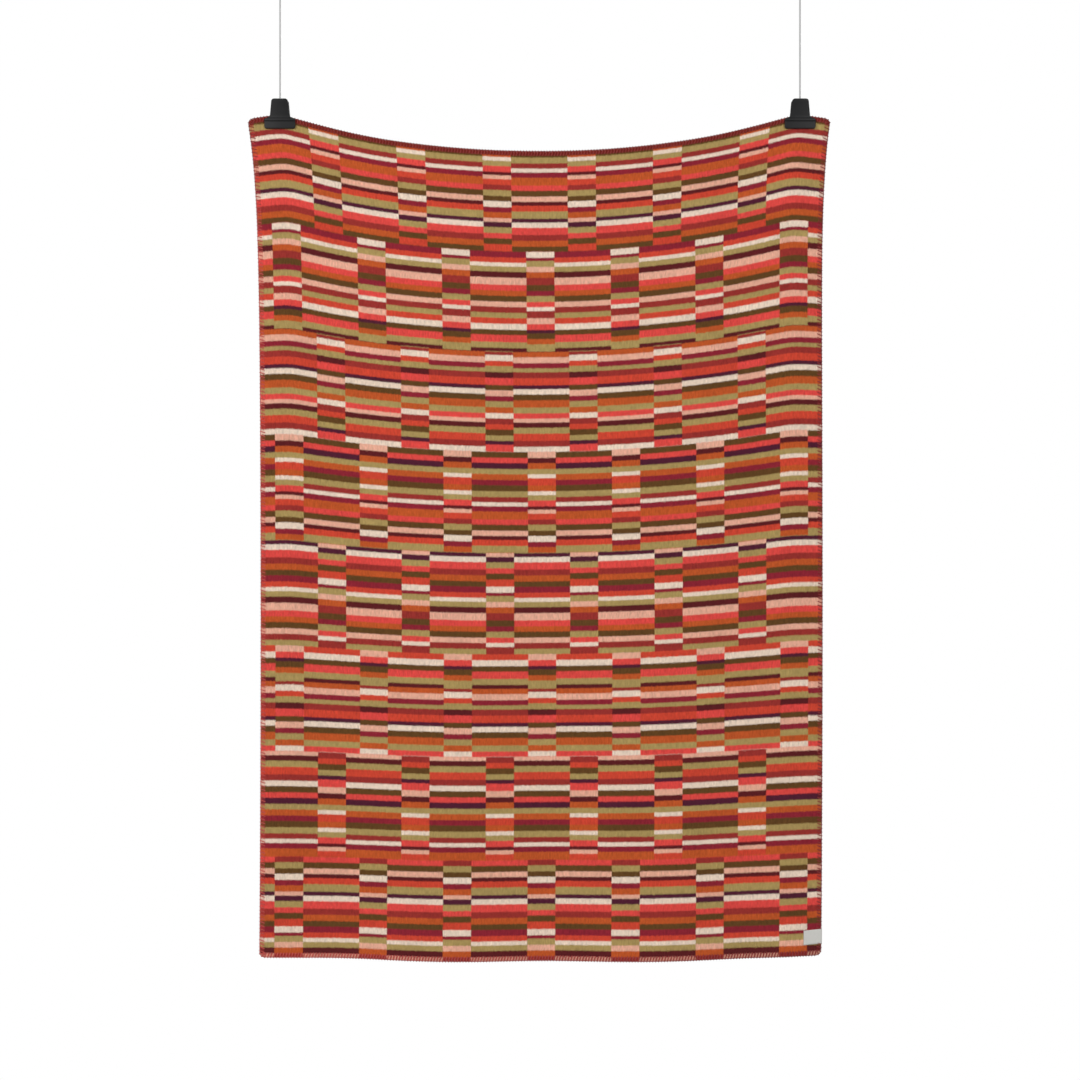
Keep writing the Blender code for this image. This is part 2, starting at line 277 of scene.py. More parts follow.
def cloth_z(across, down):
    below = max(1 - down, 0.0)
    past_clip = abs(across) * (HALF_WIDTH + TOP_FLARE) - CLIP_REACH
    inward = min(soft_positive(-past_clip, CREST_SOFT) / CLIP_REACH, 1.0)
    outward = soft_positive(past_clip, CREST_SOFT) / (HALF_WIDTH + TOP_FLARE - CLIP_REACH)
    sag = SAG * (1 - (1 - inward) ** SAG_POWER) * below ** SAG_FADE
    corner = CORNER_DROP * outward * below ** CORNER_FADE
    climb = across * CLIMB * max(math.sin(math.pi * down), 0.0) ** CLIMB_POWER
    dip = HEM_DIP * (1 - across ** 2) * down ** 2
    return CREST_Z - DROP * down - sag - corner + climb - dip


def drag_lines(x, z):
    """Shallow creases that fan out below a clip, where the cloth's weight pulls on it."""
    side = -1.0 if x > 0 else 1.0
    inward = side * (x + side * CLIP_REACH)
    reach = math.hypot(inward, z - CREST_Z)
    angle = math.degrees(math.atan2(inward, CREST_Z - z))
    begun = smooth_step(reach, DRAG_START, DRAG_FULL)
    total = 0.0
    for drag in DRAGS:
        along = begun * math.exp(-(reach / drag.reach) ** 2)
        total += drag.height * along * math.exp(-((angle - drag.angle) / drag.spread) ** 2)
    return total


def cloth_forward(across, down, x, z):
    folds = 0.0
    for fold in FOLDS:
        reach = (across - fold.across) / fold.spread
        folds += through_three(down, fold.top, fold.middle, fold.hem) * math.exp(-reach ** 2)
    swag = SWAG * math.exp(-(across / SWAG_SPREAD) ** 2) * math.exp(-down / SWAG_FADE)
    ripple = noise.noise(Vector((x, 0.0, z)) / UNEVEN_SPAN) * UNEVEN
    from_clip = math.hypot(abs(x) - CLIP_REACH, z - CREST_Z)
    folded = (folds + swag) * smooth_step(from_clip, HELD_FLAT, HELD_FADE)
    return folded + drag_lines(x, z) + ripple * smooth_step(from_clip, RIPPLE_START, RIPPLE_FULL)


def cloth_point(across, down):
    x = cloth_x(across, down)
    z = cloth_z(across, down)
    return Vector((x, -cloth_forward(across, down, x, z), z))


def cloth_frame(across, down):
    """Unit vectors along the cloth to the right, down it, and out of its front."""
    step = 0.002
    right = cloth_point(across + step, down) - cloth_point(across - step, down)
    below = cloth_point(across, down + step) - cloth_point(across, down - step)
    return right.normalized(), below.normalized(), below.cross(right).normalized()


def on_cloth(u, v, height):
    """A place given in metres on the flat cloth, at a height over the middle of its thickness."""
    inside_u = min(max(u, 0.0), FLAT_WIDTH)
    inside_v = min(max(v, 0.0), FLAT_LENGTH)
    across = 2 * inside_u / FLAT_WIDTH - 1
    down = inside_v / FLAT_LENGTH
    right, below, front = cloth_frame(across, down)
    beyond = right * (u - inside_u) + below * (v - inside_v)
    return cloth_point(across, down) + beyond + front * height


def linear_colour(code):
    """A hex sRGB colour as the linear colour that a shader takes."""
    parts = [int(code[at:at + 2], 16) / 255 for at in (0, 2, 4)]
    return tuple(p / 12.92 if p <= 0.04045 else ((p + 0.055) / 1.055) ** 2.4 for p in parts) + (1.0,)


def feed(tree, node, inputs):
    """Give sockets a value, a hex colour, an output to link, or a node whose main output to link."""
    for socket, value in inputs.items():
        if isinstance(value, bpy.types.Node):
            value = next(output for output in value.outputs if output.enabled)
        if isinstance(value, bpy.types.NodeSocket):
            tree.links.new(value, node.inputs[socket])
        else:
            node.inputs[socket].default_value = linear_colour(value) if isinstance(value, str) else value


def add_node(tree, kind, inputs, **settings):
    """Add a shader node with its settings, and feed its inputs."""
    new = tree.nodes.new("ShaderNode" + kind)
    for name, value in settings.items():
        setattr(new, name, value)
    feed(tree, new, inputs)
    return new


def new_material(name):
    made = bpy.data.materials.new(name)
    made.use_nodes = True
    return made, made.node_tree, made.node_tree.nodes["Principled BSDF"]


def charted_bars(tree, charts, place, second):
    """The colours of one kind of column, for a place from 0 to 1 down its first or second chart."""
    strips = []
    for chart in charts:
        ramp = add_node(tree, "ValToRGB", {"Fac": place})
        ramp.color_ramp.interpolation = "CONSTANT"
        stops = ramp.color_ramp.elements
        stops.remove(stops[1])
        start = 0
        for number, bar in enumerate(chart.split()):
            stop = stops[0] if number == 0 else stops.new(start / CHART_ROWS)
            stop.color = linear_colour(YARNS[bar[0]])
            start += int(bar[1:])
        strips.append(ramp)
    return add_node(tree, "Mix", {SHARE: second, FIRST: strips[0], SECOND: strips[1]}, data_type="RGBA")


def woven_bars(tree, spot):
    """The colour of the weft at a place on the flat cloth. The back shows the other weft."""
    parts = add_node(tree, "SeparateXYZ", {"Vector": spot})
    across, down = parts.outputs["X"], parts.outputs["Y"]
    run = add_node(tree, "Math", {0: down, 1: CHART_ROWS * ROW}, operation="DIVIDE")
    place = add_node(tree, "Math", {0: run}, operation="FRACT")
    turn = add_node(tree, "Math", {0: run, 1: 2.0}, operation="FLOORED_MODULO")
    second = add_node(tree, "Math", {0: turn, 1: 1.0}, operation="GREATER_THAN")
    band = BAND_ROWS * ROW
    pair = add_node(tree, "Math", {0: down, 1: 2 * band}, operation="FLOORED_MODULO")
    odd = add_node(tree, "Math", {0: pair, 1: band}, operation="GREATER_THAN")
    step = WIDE_COLUMN + NARROW_COLUMN
    moved = add_node(tree, "Math", {0: odd, 1: step / 2, 2: across}, operation="MULTIPLY_ADD")
    column = add_node(tree, "Math", {0: moved, 1: step}, operation="FLOORED_MODULO")
    narrow = add_node(tree, "Math", {0: column, 1: WIDE_COLUMN}, operation="GREATER_THAN")
    side = add_node(tree, "Attribute", {}, attribute_name="back_face")
    shown = add_node(tree, "Math", {0: narrow, 1: side.outputs["Fac"]}, operation="SUBTRACT")
    weft = add_node(tree, "Math", {0: shown}, operation="ABSOLUTE")
    return add_node(tree, "Mix", {
        SHARE: weft,
        FIRST: charted_bars(tree, WIDE_CHARTS, place, second),
        SECOND: charted_bars(tree, NARROW_CHARTS, place, second),
    }, data_type="RGBA")


def felted_margin(tree, flat, fibres, bars):
    """The bars with fibres of the sewing yarn felted into the last 10 mm, and with their colour."""
    place = add_node(tree, "SeparateXYZ", {"Vector": flat})
    down = place.outputs["Y"]
    start, end = MARGIN_FADE
    thick = add_node(tree, "MapRange", {"Value": down, "From Min": start, "From Max": end,
                                        "To Min": MARGIN_THICK, "To Max": MARGIN_THIN})
    across = add_node(tree, "MapRange", {"Value": place.outputs["X"], "From Max": FLAT_WIDTH})
    # Darkest along the top edge, and brighter down the left side than down the right, which is painted light
    # from the left: a painted highlight on the left and painted shade on the right
    beside = add_node(tree, "Mix", {SHARE: across, FIRST: "CC4A48", SECOND: "84282A"}, data_type="RGBA")
    level = add_node(tree, "MapRange", {"Value": down, "From Min": start, "From Max": end})
    painted_light_wash = add_node(tree, "Mix", {SHARE: level, FIRST: "7A2420", SECOND: beside}, data_type="RGBA")
    edge = add_node(tree, "Attribute", {}, attribute_name="from_edge")
    ragged = add_node(tree, "Math", {0: fibres, 1: MARGIN_RAGGED, 2: edge.outputs["Fac"]},
                      operation="MULTIPLY_ADD")
    felted = add_node(tree, "MapRange", {"Value": ragged, "From Min": STITCH_DEPTH + 1 * MM,
                                         "From Max": STITCH_DEPTH + 4 * MM, "To Min": thick, "To Max": 0.0})
    return add_node(tree, "Mix", {SHARE: felted, FIRST: bars, SECOND: painted_light_wash}, data_type="RGBA")


def milled_lambswool():
    """Raised wool cloth: matt, with a brushed nap that blurs the bars' edges and hides the weave."""
    made, tree, shader = new_material("milled_lambswool")
    flat = add_node(tree, "UVMap", {}, uv_map="Cloth")
    brushed = add_node(tree, "VectorMath", {0: flat, 1: FIBRES}, operation="MULTIPLY")
    fibres = add_node(tree, "TexNoise", {"Vector": brushed, "Scale": 1.0, "Detail": 2.0})
    centred = add_node(tree, "VectorMath", {0: fibres.outputs["Color"], 1: (0.5, 0.5, 0.5)},
                       operation="SUBTRACT")
    blurred = add_node(tree, "VectorMath", {0: centred, 1: BLUR, 2: flat}, operation="MULTIPLY_ADD")
    bars = woven_bars(tree, blurred)
    ribbed = add_node(tree, "VectorMath", {0: flat, 1: RIBS}, operation="MULTIPLY")
    ribs = add_node(tree, "TexNoise", {"Vector": ribbed, "Scale": 1.0, "Detail": 2.0, "Roughness": 0.6})
    # The dye is uneven from one hand's breadth of cloth to the next
    dye = add_node(tree, "TexNoise", {"Vector": flat, "Scale": 14.0, "Detail": 2.0})
    rib_shade = add_node(tree, "MapRange", {"Value": ribs, "From Min": 0.25, "From Max": 0.75,
                                            "To Min": 0.76, "To Max": 1.20})
    fleck = add_node(tree, "MapRange", {"Value": fibres, "From Min": 0.25, "From Max": 0.75,
                                        "To Min": 0.85, "To Max": 1.15})
    lot = add_node(tree, "MapRange", {"Value": dye, "From Min": 0.3, "From Max": 0.7,
                                      "To Min": 0.95, "To Max": 1.05})
    both = add_node(tree, "Math", {0: rib_shade, 1: fleck}, operation="MULTIPLY")
    every = add_node(tree, "Math", {0: both, 1: lot}, operation="MULTIPLY")
    margined = felted_margin(tree, flat, fibres, bars)
    colour = add_node(tree, "VectorMath", {0: margined, "Scale": every}, operation="SCALE")
    nap = add_node(tree, "Math", {0: ribs, 1: fibres}, operation="ADD")
    raised = add_node(tree, "Bump", {"Height": nap, "Strength": 0.6, "Distance": 0.8 * MM})
    feed(tree, shader, {"Base Color": colour, "Normal": raised, "Roughness": 0.95,
                        "Specular IOR Level": 0.15, "Sheen Weight": 0.10, "Sheen Roughness": 0.45})
    return made


def two_ply_wool():
    """Wool yarn, dyed dark red: its two plies show as slanting ridges, and it is dull and hairy."""
    made, tree, shader = new_material("two_ply_wool_yarn")
    flat = add_node(tree, "UVMap", {}, uv_map="Yarn")
    # Two ridges go round the yarn, and each comes back to the same side after 5 mm
    wound = add_node(tree, "VectorMath", {0: flat, 1: (WAVE_BAND * 2 / 5, WAVE_BAND * 2, 0.0)},
                     operation="MULTIPLY")
    twist = add_node(tree, "TexWave", {"Vector": wound, "Scale": 1.0, "Distortion": 0.5, "Detail": 1.0},
                     bands_direction="DIAGONAL").outputs["Fac"]
    spot = add_node(tree, "TexCoord", {}).outputs["Object"]
    parts = add_node(tree, "SeparateXYZ", {"Vector": spot})
    hairs = add_node(tree, "TexNoise", {"Vector": spot, "Scale": 160.0, "Detail": 3.0})
    # Dark along the top edge, redder down the right side and palest down the left one; the difference between
    # the sides is painted light from the left, a painted highlight on the left and painted shade on the right
    lower = add_node(tree, "MapRange", {"Value": parts.outputs["Z"], "From Min": YARN_TOP_Z,
                                        "From Max": YARN_SIDE_Z})
    along = add_node(tree, "MapRange", {"Value": parts.outputs["X"], "From Min": -YARN_SIDE_X,
                                        "From Max": YARN_SIDE_X})
    painted_light_tones = []
    for top, left, right in (("702420", "C04A46", "802C2C"), ("AC4640", "E06C64", "A84646")):
        side = add_node(tree, "Mix", {SHARE: along, FIRST: left, SECOND: right}, data_type="RGBA")
        painted_light_tones.append(add_node(tree, "Mix", {SHARE: lower, FIRST: top, SECOND: side}, data_type="RGBA"))
    ply = add_node(tree, "Mix", {SHARE: hairs, FIRST: painted_light_tones[0], SECOND: painted_light_tones[1]}, data_type="RGBA")
    raised = add_node(tree, "Bump", {"Height": twist, "Strength": 0.6, "Distance": 0.4 * MM})
    # Painted shade in the grooves between the plies, and a painted highlight on their ridges
    groove_shade = add_node(tree, "MapRange", {"Value": twist, "To Min": 0.55, "To Max": 1.15})
    shaded = add_node(tree, "VectorMath", {0: ply, "Scale": groove_shade}, operation="SCALE")
    feed(tree, shader, {"Base Color": shaded, "Normal": raised, "Roughness": 0.92,
                        "Specular IOR Level": 0.15, "Sheen Weight": 0.08})
    return made


def woven_tape():
    """Polyester label tape: off-white, with woven ribs 2 mm apart and a faint gloss."""
    made, tree, shader = new_material("woven_polyester_tape")
    flat = add_node(tree, "UVMap", {}, uv_map="Tape")
    ribs = add_node(tree, "TexWave", {"Vector": flat, "Scale": 320.0, "Distortion": 0.6, "Detail": 1.0},
                    bands_direction="Y").outputs["Fac"]
    grain = add_node(tree, "TexNoise", {"Vector": flat, "Scale": 700.0, "Detail": 2.0})
    tint = add_node(tree, "Mix", {SHARE: grain, FIRST: "BEBDB8", SECOND: "DAD9D4"}, data_type="RGBA")
    raised = add_node(tree, "Bump", {"Height": ribs, "Strength": 0.4, "Distance": 0.2 * MM})
    feed(tree, shader, {"Base Color": tint, "Normal": raised, "Roughness": 0.7})
    return made


def sewing_thread():
    """Spun polyester thread: white, slightly glossy, and of two plies twisted once in 1.6 mm."""
    made, tree, shader = new_material("spun_polyester_thread")
    flat = add_node(tree, "UVMap", {}, uv_map="Yarn")
    wound = add_node(tree, "VectorMath", {0: flat, 1: (WAVE_BAND * 2 / 1.6, WAVE_BAND * 2, 0.0)},
                     operation="MULTIPLY")
    twist = add_node(tree, "TexWave", {"Vector": wound, "Scale": 1.0}, bands_direction="DIAGONAL")
    # The grey bands along the twist are painted shade between the plies
    tint = add_node(tree, "Mix", {SHARE: twist.outputs["Fac"], FIRST: "A9A8A2", SECOND: "E6E5E0"},
                    data_type="RGBA")
    feed(tree, shader, {"Base Color": tint, "Roughness": 0.5})
    return made


def moulded_plastic(name, dark, light, roughness, shine):
    """ABS from a finely etched mould: an even colour, and a satin gloss broken by the grain."""
    made, tree, shader = new_material(name)
    spot = add_node(tree, "TexCoord", {}).outputs["Object"]
    # Etched grains are 0.4 mm apart, and patches of wear about 11 mm
    grain = add_node(tree, "TexNoise", {"Vector": spot, "Scale": 2600.0, "Detail": 2.0})
    wear = add_node(tree, "TexNoise", {"Vector": spot, "Scale": 90.0, "Detail": 3.0})
    tint = add_node(tree, "Mix", {SHARE: wear, FIRST: dark, SECOND: light}, data_type="RGBA")
    gloss = add_node(tree, "MapRange", {"Value": wear, "To Min": roughness - 0.08,
                                        "To Max": roughness + 0.08})
    raised = add_node(tree, "Bump", {"Height": grain, "Strength": 0.25, "Distance": 0.1 * MM})
    feed(tree, shader, {"Base Color": tint, "Normal": raised, "Roughness": gloss,
                        "Specular IOR Level": shine})
    return made


def spring_steel():
    """Drawn wire with zinc plate: a bright metal, with a fine and uneven gloss."""
    made, tree, shader = new_material("zinc_plated_spring_steel")
    flat = add_node(tree, "UVMap", {}, uv_map="Yarn")
    plating = add_node(tree, "TexNoise", {"Vector": flat, "Scale": 40.0, "Detail": 2.0})
    gloss = add_node(tree, "MapRange", {"Value": plating, "To Min": 0.22, "To Max": 0.42})
    feed(tree, shader, {"Roughness": gloss, "Base Color": "C9CACC", "Metallic": 1.0})
    return made


def braided_nylon():
    """Braided nylon line: pale grey, with a slight shine and a braid that repeats every 2.4 mm."""
    made, tree, shader = new_material("braided_nylon")
    spot = add_node(tree, "TexCoord", {}).outputs["Object"]
    braid = add_node(tree, "TexWave", {"Vector": spot, "Scale": 260.0, "Distortion": 2.0},
                     bands_direction="Z").outputs["Fac"]
    tint = add_node(tree, "Mix", {SHARE: braid, FIRST: "AEAEAE", SECOND: "CACACA"}, data_type="RGBA")
    raised = add_node(tree, "Bump", {"Height": braid, "Strength": 0.5, "Distance": 0.2 * MM})
    feed(tree, shader, {"Base Color": tint, "Normal": raised, "Roughness": 0.45})
    return made


def painted_board():
    """Matt white studio floor, with a barely uneven coat."""
    made, tree, shader = new_material("matt_white_paint")
    spot = add_node(tree, "TexCoord", {}).outputs["Object"]
    coat = add_node(tree, "TexNoise", {"Vector": spot, "Scale": 6.0})
    tint = add_node(tree, "Mix", {SHARE: coat, FIRST: "E9E9E8", SECOND: "EFEFEE"}, data_type="RGBA")
    feed(tree, shader, {"Base Color": tint, "Roughness": 0.8})
    return made


def mesh_from(work, name, crease=None):
    """Finish a bmesh as a mesh, smooth up to a crease angle in degrees where one is given."""
    mesh = bpy.data.meshes.new(name)
    work.to_mesh(mesh)
    work.free()
    if crease:
        mesh.shade_smooth()
        mesh.set_sharp_from_angle(angle=math.radians(crease))
    return mesh


def place_piece(name, mesh, finish, replaces=()):
    """Link a piece, give it its finish, and let it ride on the one body."""
    piece = bpy.data.objects.new(name, mesh)
    bpy.context.scene.collection.objects.link(piece)
    piece.data.materials.append(finish)
    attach(piece, BODY)
    if replaces:
        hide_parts(*replaces)
    return piece


def grid_lines(length):
    """Places along one side of the flat cloth, closer together near its ends."""
    inner = length - 2 * EDGE_LINES[-1]
    count = round(inner / CELL)
    middle = [EDGE_LINES[-1] + inner * step / count for step in range(1, count)]
    return list(EDGE_LINES) + middle + [length - inset for inset in reversed(EDGE_LINES)]


def round_corner(u, v):
    """Move a place near a corner of the flat cloth so that the corner is round."""
    out_u = CORNER_RADIUS - min(u, FLAT_WIDTH - u)
    out_v = CORNER_RADIUS - min(v, FLAT_LENGTH - v)
    if out_u <= 0 or out_v <= 0:
        return u, v
    pull = 1 - max(out_u, out_v) / math.hypot(out_u, out_v)
    u += pull * out_u * (1 if u < FLAT_WIDTH / 2 else -1)
    v += pull * out_v * (1 if v < FLAT_LENGTH / 2 else -1)
    return u, v


def from_edge(u, v):
    return min(u, FLAT_WIDTH - u, v, FLAT_LENGTH - v)


def edge_thickness(u, v):
    """Half the cloth's thickness, which rounds off over its last 1.5 mm."""
    share = 1 - min(from_edge(u, v) / EDGE_ROUNDING, 1.0)
    return THICKNESS / 2 * max(math.sqrt(1 - share ** 2), RIM_SHARE)


def make_cloth(finish):
    """The blanket as one closed sheet, its front and back each a fine grid on the folds."""
    us = grid_lines(FLAT_WIDTH)
    vs = grid_lines(FLAT_LENGTH)
    points, places = [], []
    for facing in (1, -1):
        for v in vs:
            for u in us:
                flat = round_corner(u, v)
                points.append(on_cloth(*flat, facing * edge_thickness(u, v)))
                places.append(flat)
    wide, tall = len(us), len(vs)
    back = wide * tall
    faces = []
    for row in range(tall - 1):
        for column in range(wide - 1):
            a = row * wide + column
            faces.append((a, a + wide, a + wide + 1, a + 1))
    front_count = len(faces)
    faces += [(back + a, back + d, back + c, back + b) for a, b, c, d in faces]
    rim = (list(range(wide))
           + [row * wide + wide - 1 for row in range(1, tall)]
           + [(tall - 1) * wide + column for column in range(wide - 2, -1, -1)]
           + [row * wide for row in range(tall - 2, 0, -1)])
    for here, there in zip(rim, rim[1:] + rim[:1]):
        faces.append((here, there, back + there, back + here))
    mesh = bpy.data.meshes.new("blanket_cloth")
    mesh.from_pydata(points, [], faces)
    layer = mesh.uv_layers.new(name="Cloth")
    for loop in mesh.loops:
        layer.data[loop.index].uv = places[loop.vertex_index]
    edge = mesh.attributes.new("from_edge", "FLOAT", "POINT")
    edge.data.foreach_set("value", [from_edge(*place) for place in places])
    side = mesh.attributes.new("back_face", "FLOAT", "FACE")
    is_back = [float(front_count <= at < 2 * front_count) for at in range(len(faces))]
    side.data.foreach_set("value", is_back)
    mesh.shade_smooth()
    return place_piece("blanket_cloth", mesh, finish, ["blanket"])


def join_rings(work, rings):
    """Join each closed ring of points to the next one with a band of faces."""
    for ring, following in zip(rings, rings[1:]):
        for at in range(len(ring)):
            beside = (at + 1) % len(ring)
            work.faces.new((ring[at], ring[beside], following[beside], following[at]))


def add_tube(work, layer, points, radii, sides):
    """A round tube along the points, with its length and its turn as UV in millimetres and turns."""
    normal = None
    rings, lengths, run = [], [], 0.0
    turns = [2 * math.pi * side / sides for side in range(sides)]
    for at, (point, radius) in enumerate(zip(points, radii)):
        before = points[max(at - 1, 0)]
        along = (points[min(at + 1, len(points) - 1)] - before).normalized()
        if normal is None:
            normal = along.orthogonal().normalized()
        normal = (normal - along * normal.dot(along)).normalized()
        other = along.cross(normal)
        rings.append([work.verts.new(point + (normal * math.cos(t) + other * math.sin(t)) * radius)
                      for t in turns])
        run += (point - before).length
        lengths.append(run / MM)
    for at, (ring, following) in enumerate(zip(rings, rings[1:])):
        for side in range(sides):
            corner = (side + 1) % sides
            face = work.faces.new((ring[side], ring[corner], following[corner], following[side]))
            face.smooth = True
            uvs = ((at, side), (at, side + 1), (at + 1, side + 1), (at + 1, side))
            for loop, (place, turn) in zip(face.loops, uvs):
                loop[layer].uv = (lengths[place], turn / sides)
    work.faces.new(list(reversed(rings[0])))
    work.faces.new(rings[-1])


def tube_mesh(name, paths, sides):
    """One mesh of round tubes, from pairs of a path and its radius, or a radius for each point."""
    work = bmesh.new()
    layer = work.loops.layers.uv.new("Yarn")
    for points, radii in paths:
        each = radii if isinstance(radii, list) else [radii] * len(points)
        add_tube(work, layer, points, each, sides)
    return mesh_from(work, name)


def edge_place(run):
    """A place on the flat cloth's rounded outline, and the flat direction that points inward."""
    radius = CORNER_RADIUS
    straight = (FLAT_WIDTH - 2 * radius, FLAT_LENGTH - 2 * radius) * 2
    turn = math.pi / 2 * radius
    corners = ((FLAT_WIDTH - radius, radius), (FLAT_WIDTH - radius, FLAT_LENGTH - radius),
               (radius, FLAT_LENGTH - radius), (radius, radius))
    starts = ((radius, 0.0), (FLAT_WIDTH, radius), (FLAT_WIDTH - radius, FLAT_LENGTH),
              (0.0, FLAT_LENGTH - radius))
    ways = ((1, 0), (0, 1), (-1, 0), (0, -1))
    for length, corner, start, way in zip(straight, corners, starts, ways):
        inward = (-way[1], way[0])
        if run <= length:
            return (start[0] + way[0] * run, start[1] + way[1] * run), inward
        run -= length
        if run <= turn:
            angle = run / radius
            inward = (inward[0] * math.cos(angle) - way[0] * math.sin(angle),
                      inward[1] * math.cos(angle) - way[1] * math.sin(angle))
            return (corner[0] - inward[0] * radius, corner[1] - inward[1] * radius), inward
        run -= turn
    return starts[0], (0, 1)


def outline_length():
    return 2 * (FLAT_WIDTH + FLAT_LENGTH) - (8 - 2 * math.pi) * CORNER_RADIUS


def edge_point(run, inset, height):
    """A point near the cloth's edge: along it, in from it, and over the middle of the cloth."""
    place, inward = edge_place(run % outline_length())
    return on_cloth(place[0] + inward[0] * inset, place[1] + inward[1] * inset, height)


def stitch_starts():
    """Where each stitch begins along the outline, and where the last one ends."""
    starts, run = [], 0.0
    for side, pitch in ((FLAT_WIDTH, END_PITCH), (FLAT_LENGTH, SIDE_PITCH)) * 2:
        length = side - (2 - math.pi / 2) * CORNER_RADIUS
        count = round(length / pitch)
        starts += [run + length * step / count for step in range(count)]
        run += length
    return starts + [run]


def under_label(run):
    middle = FLAT_WIDTH + FLAT_LENGTH * LABEL_MIDDLE_DOWN - (3 - math.pi / 2) * CORNER_RADIUS
    return abs(run - middle) < (LABEL_HEIGHT - SIDE_PITCH) / 2


def make_edge_stitching(finish):
    """Blanket stitch: slanting legs over both faces, and a purl that lies along the very edge."""
    rise = THICKNESS / 2
    Bend = namedtuple("Bend", "along inset height")
    leg = (
        Bend(0.00, STITCH_DEPTH, 0.0),
        Bend(0.06, 0.92 * STITCH_DEPTH, rise + 0.35 * YARN_RADIUS),
        Bend(0.24, 0.55 * STITCH_DEPTH, rise + 0.75 * YARN_RADIUS),
        Bend(0.42, 0.12 * STITCH_DEPTH, rise + 0.60 * YARN_RADIUS),
        Bend(0.50, -1.3 * YARN_RADIUS, 0.0),
        Bend(0.58, 0.12 * STITCH_DEPTH, -rise - 0.60 * YARN_RADIUS),
        Bend(0.76, 0.55 * STITCH_DEPTH, -rise - 0.75 * YARN_RADIUS),
        Bend(0.94, 0.92 * STITCH_DEPTH, -rise - 0.35 * YARN_RADIUS),
    )
    purl_steps, purl_out, purl_swing = 5, 0.9 * PURL_RADIUS, 0.4 * PURL_RADIUS
    starts = stitch_starts()
    count = len(starts) - 1
    hidden = [number for number in range(count) if under_label(starts[number])]
    # The yarn starts below the label and ends above it, so that none of it runs beneath the tape
    order = [(hidden[-1] + 1 + step) % count for step in range(count - len(hidden))]
    legs, purl, thicknesses = [], [], []
    for number in order:
        uneven = 1 + STITCH_UNEVEN * noise.noise(Vector((number * STITCH_WANDER, 0.0, 0.0)))
        start = starts[number]
        pitch = starts[number + 1] - start
        thick = YARN_RADIUS if pitch < (END_PITCH + SIDE_PITCH) / 2 else SIDE_YARN_RADIUS
        thicknesses += [thick] * len(leg)
        for bend in leg:
            inset = bend.inset * (uneven if bend.inset > 0 else 1)
            height = bend.height * (rise + thick) / (rise + YARN_RADIUS)
            legs.append(edge_point(start + bend.along * pitch, inset, height))
        for step in range(purl_steps):
            turn = 2 * math.pi * step / purl_steps
            inset = -purl_out - purl_swing * math.cos(turn)
            purl.append(edge_point(start + pitch * step / purl_steps, inset, purl_out * math.sin(turn)))
    mesh = tube_mesh("edge_stitching", [(legs, thicknesses), (purl, PURL_RADIUS)], 6)
    return place_piece("edge_stitching", mesh, finish)


def label_place(inset, down):
    """A point in the middle of the cloth, in from its edge and down from the label's middle."""
    right, below, front = cloth_frame(1.0, LABEL_MIDDLE_DOWN)
    along = (right * math.cos(LABEL_TILT) - below * math.sin(LABEL_TILT)).normalized()
    flat = cloth_point(1.0, LABEL_MIDDLE_DOWN) - along * inset + below * down
    flat.y = cloth_point(1.0 - inset / HALF_WIDTH, LABEL_MIDDLE_DOWN + down / DROP).y
    return flat


def make_label(finish):
    """The label: a strip folded round the edge, as long on the back as on the front."""
    level = THICKNESS / 2 + LABEL_CLEARANCE + LABEL_THICKNESS / 2
    steps, bends, rows = 12, 10, 10
    flap = [LABEL_WIDTH * (1 - step / steps) for step in range(steps + 1)]
    turns = [math.pi / 2 - math.pi * step / bends for step in range(1, bends)]
    profile = ([(-inset, level) for inset in flap]
               + [(level * math.cos(turn), level * math.sin(turn)) for turn in turns]
               + [(-inset, -level) for inset in reversed(flap)])
    right, below, front = cloth_frame(1.0, LABEL_MIDDLE_DOWN)
    work = bmesh.new()
    layer = work.loops.layers.uv.new("Tape")
    grid = []
    for row in range(rows + 1):
        down = LABEL_HEIGHT * (row / rows - 0.5)
        line = []
        for outward, height in profile:
            point = label_place(max(-outward, 0.0), down) + right * max(outward, 0.0) + front * height
            line.append((work.verts.new(point), (outward if height > 0 else -outward, down)))
        grid.append(line)
    for upper, lower in zip(grid, grid[1:]):
        for left in range(len(upper) - 1):
            corners = (upper[left], lower[left], lower[left + 1], upper[left + 1])
            face = work.faces.new([corner[0] for corner in corners])
            face.smooth = True
            for loop, corner in zip(face.loops, corners):
                loop[layer].uv = corner[1]
    label = place_piece("blank_label", mesh_from(work, "blank_label"), finish, ["label"])
    thicken = label.modifiers.new("thickness", "SOLIDIFY")
    thicken.thickness = LABEL_THICKNESS
    thicken.offset = 0.0
    return label


def make_label_thread(finish):
    """A row of straight stitches that holds the label's free end to the cloth, on both faces."""
    level = THICKNESS / 2 + LABEL_CLEARANCE + LABEL_THICKNESS
    front = cloth_frame(1.0, LABEL_MIDDLE_DOWN)[2]
    pitch = (LABEL_HEIGHT - 2 * THREAD_MARGIN) / THREAD_STITCHES
    steps = 6
    paths = []
    for number in range(THREAD_STITCHES):
        middle = (number + 0.5) * pitch - LABEL_HEIGHT / 2 + THREAD_MARGIN
        for facing in (1, -1):
            path = []
            for step in range(steps + 1):
                spot = label_place(LABEL_WIDTH - THREAD_INSET, middle + (step / steps - 0.5) * THREAD_LENGTH)
                dive = THREAD_DIVE * (2 * step / steps - 1) ** 4
                path.append(spot + front * facing * (level + THREAD_RADIUS * (THREAD_PROUD - dive)))
            paths.append((path, THREAD_RADIUS))
    return place_piece("label_thread", tube_mesh("label_thread", paths, 8), finish)


def corner_rows(centre_height, centre_half_width, radius, start, end):
    """Heights and half widths round a corner, from one angle to another."""
    steps = 8
    angles = [start + (end - start) * step / steps for step in range(steps + 1)]
    return [(centre_height + radius * math.sin(angle), centre_half_width + radius * math.cos(angle))
            for angle in angles]


